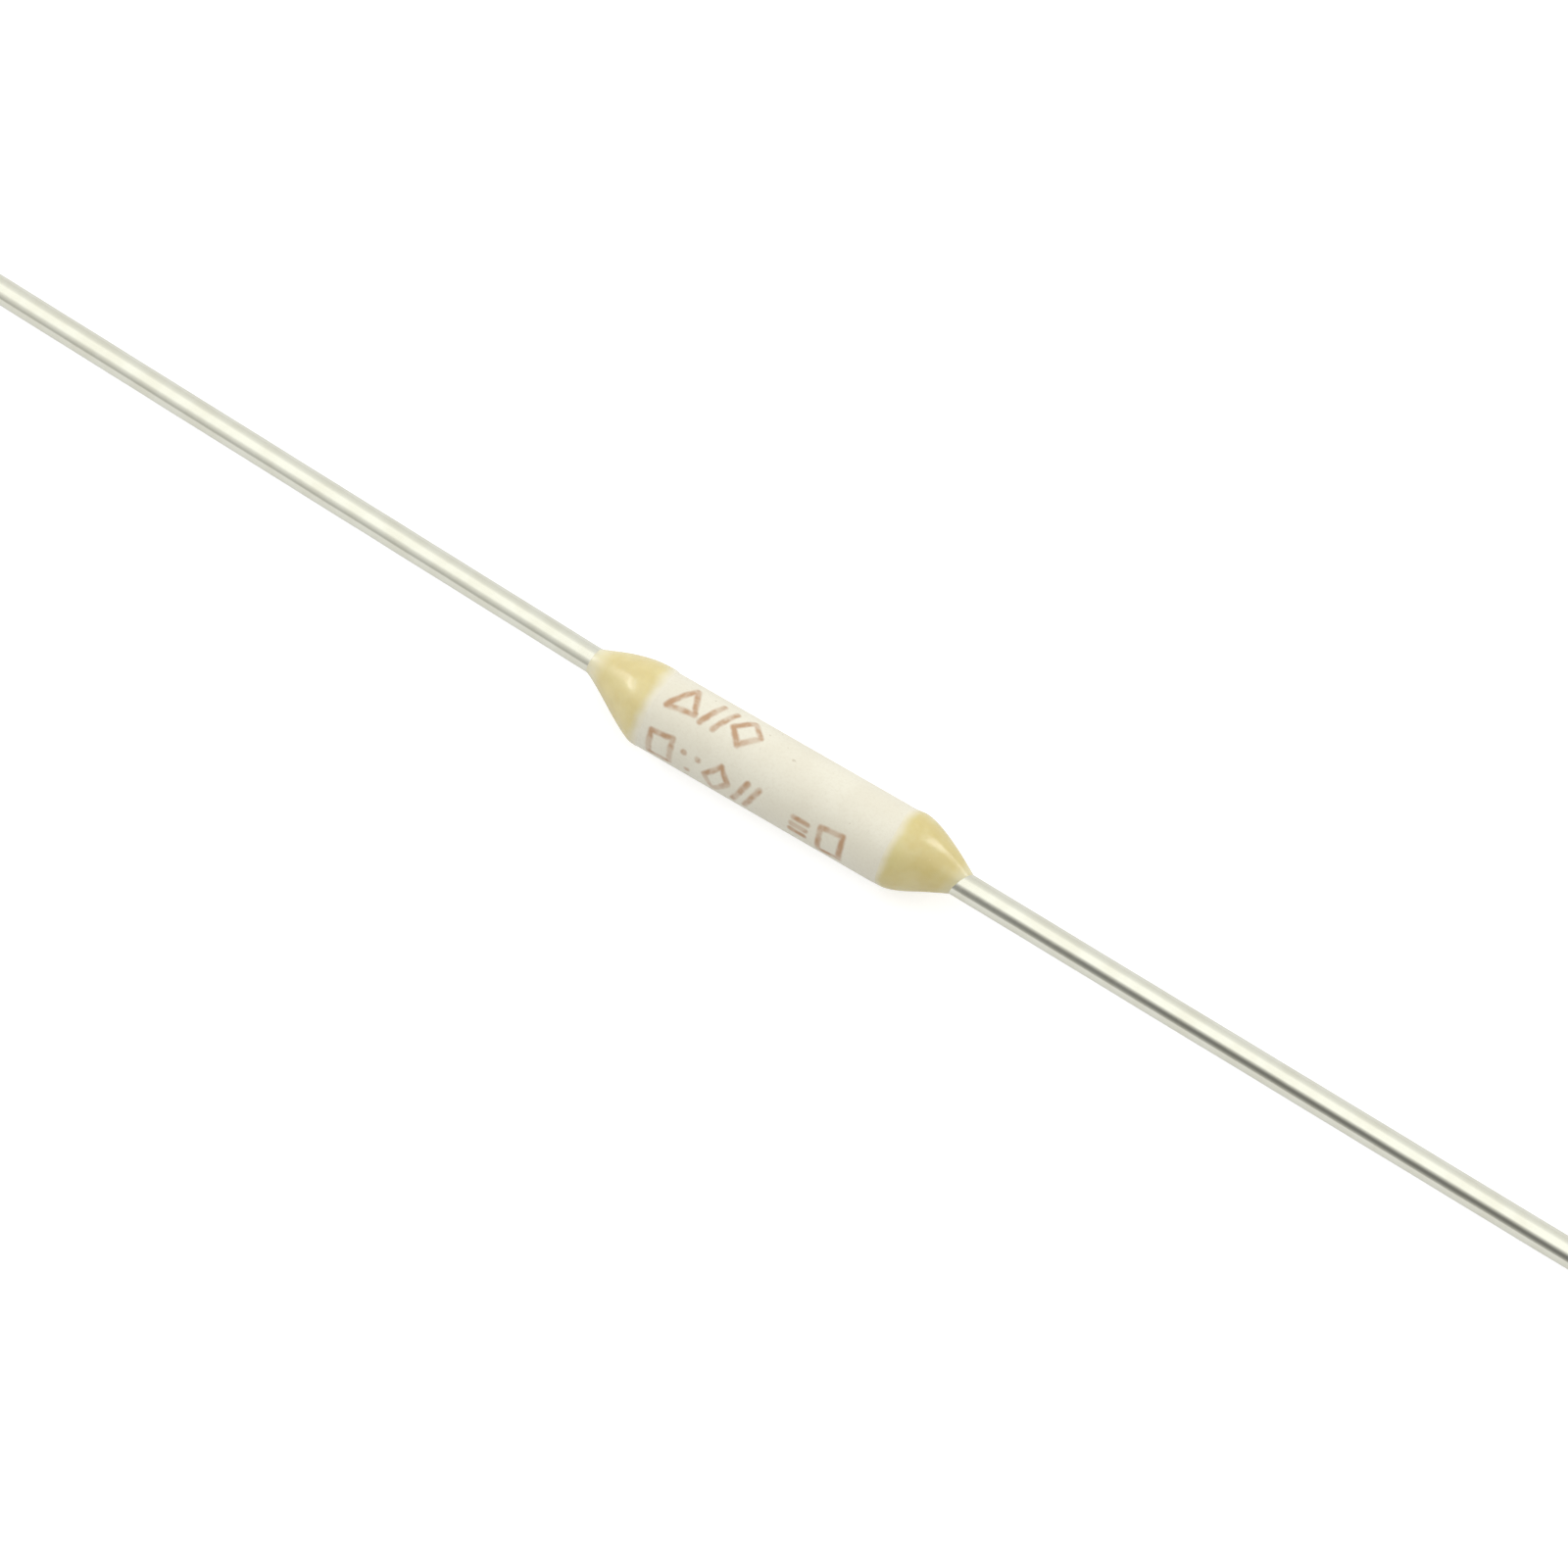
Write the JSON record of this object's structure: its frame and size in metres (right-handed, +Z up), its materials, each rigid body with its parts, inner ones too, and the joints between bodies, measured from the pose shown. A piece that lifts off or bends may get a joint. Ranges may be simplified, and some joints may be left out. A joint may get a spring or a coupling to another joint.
{
  "type": "thermal fuse",
  "caption": "Axial thermal fuse with a ceramic tube, drop-shaped resin seals at both ends and two straight tinned leads.",
  "frame": {"origin": "centre of the ceramic tube, on its axis", "axes": "+X runs along the tube towards the seal that laps on to it, +Y is the side towards which the left lead leans, +Z is up"},
  "size_m": [0.086, 0.0037, 0.003],
  "materials": {
    "ceramic": "satin",
    "alloy": "satin",
    "flux": "gloss",
    "epoxy": "satin",
    "tinned_wire": "polished"
  },
  "bodies": {
    "root": {"ceramic_case": "ceramic", "fusible_alloy": "alloy", "flux": "flux", "seal_left": "epoxy", "seal_right": "epoxy", "lead_left": "tinned_wire", "lead_right": "tinned_wire"}
  },
  "joints": []
}
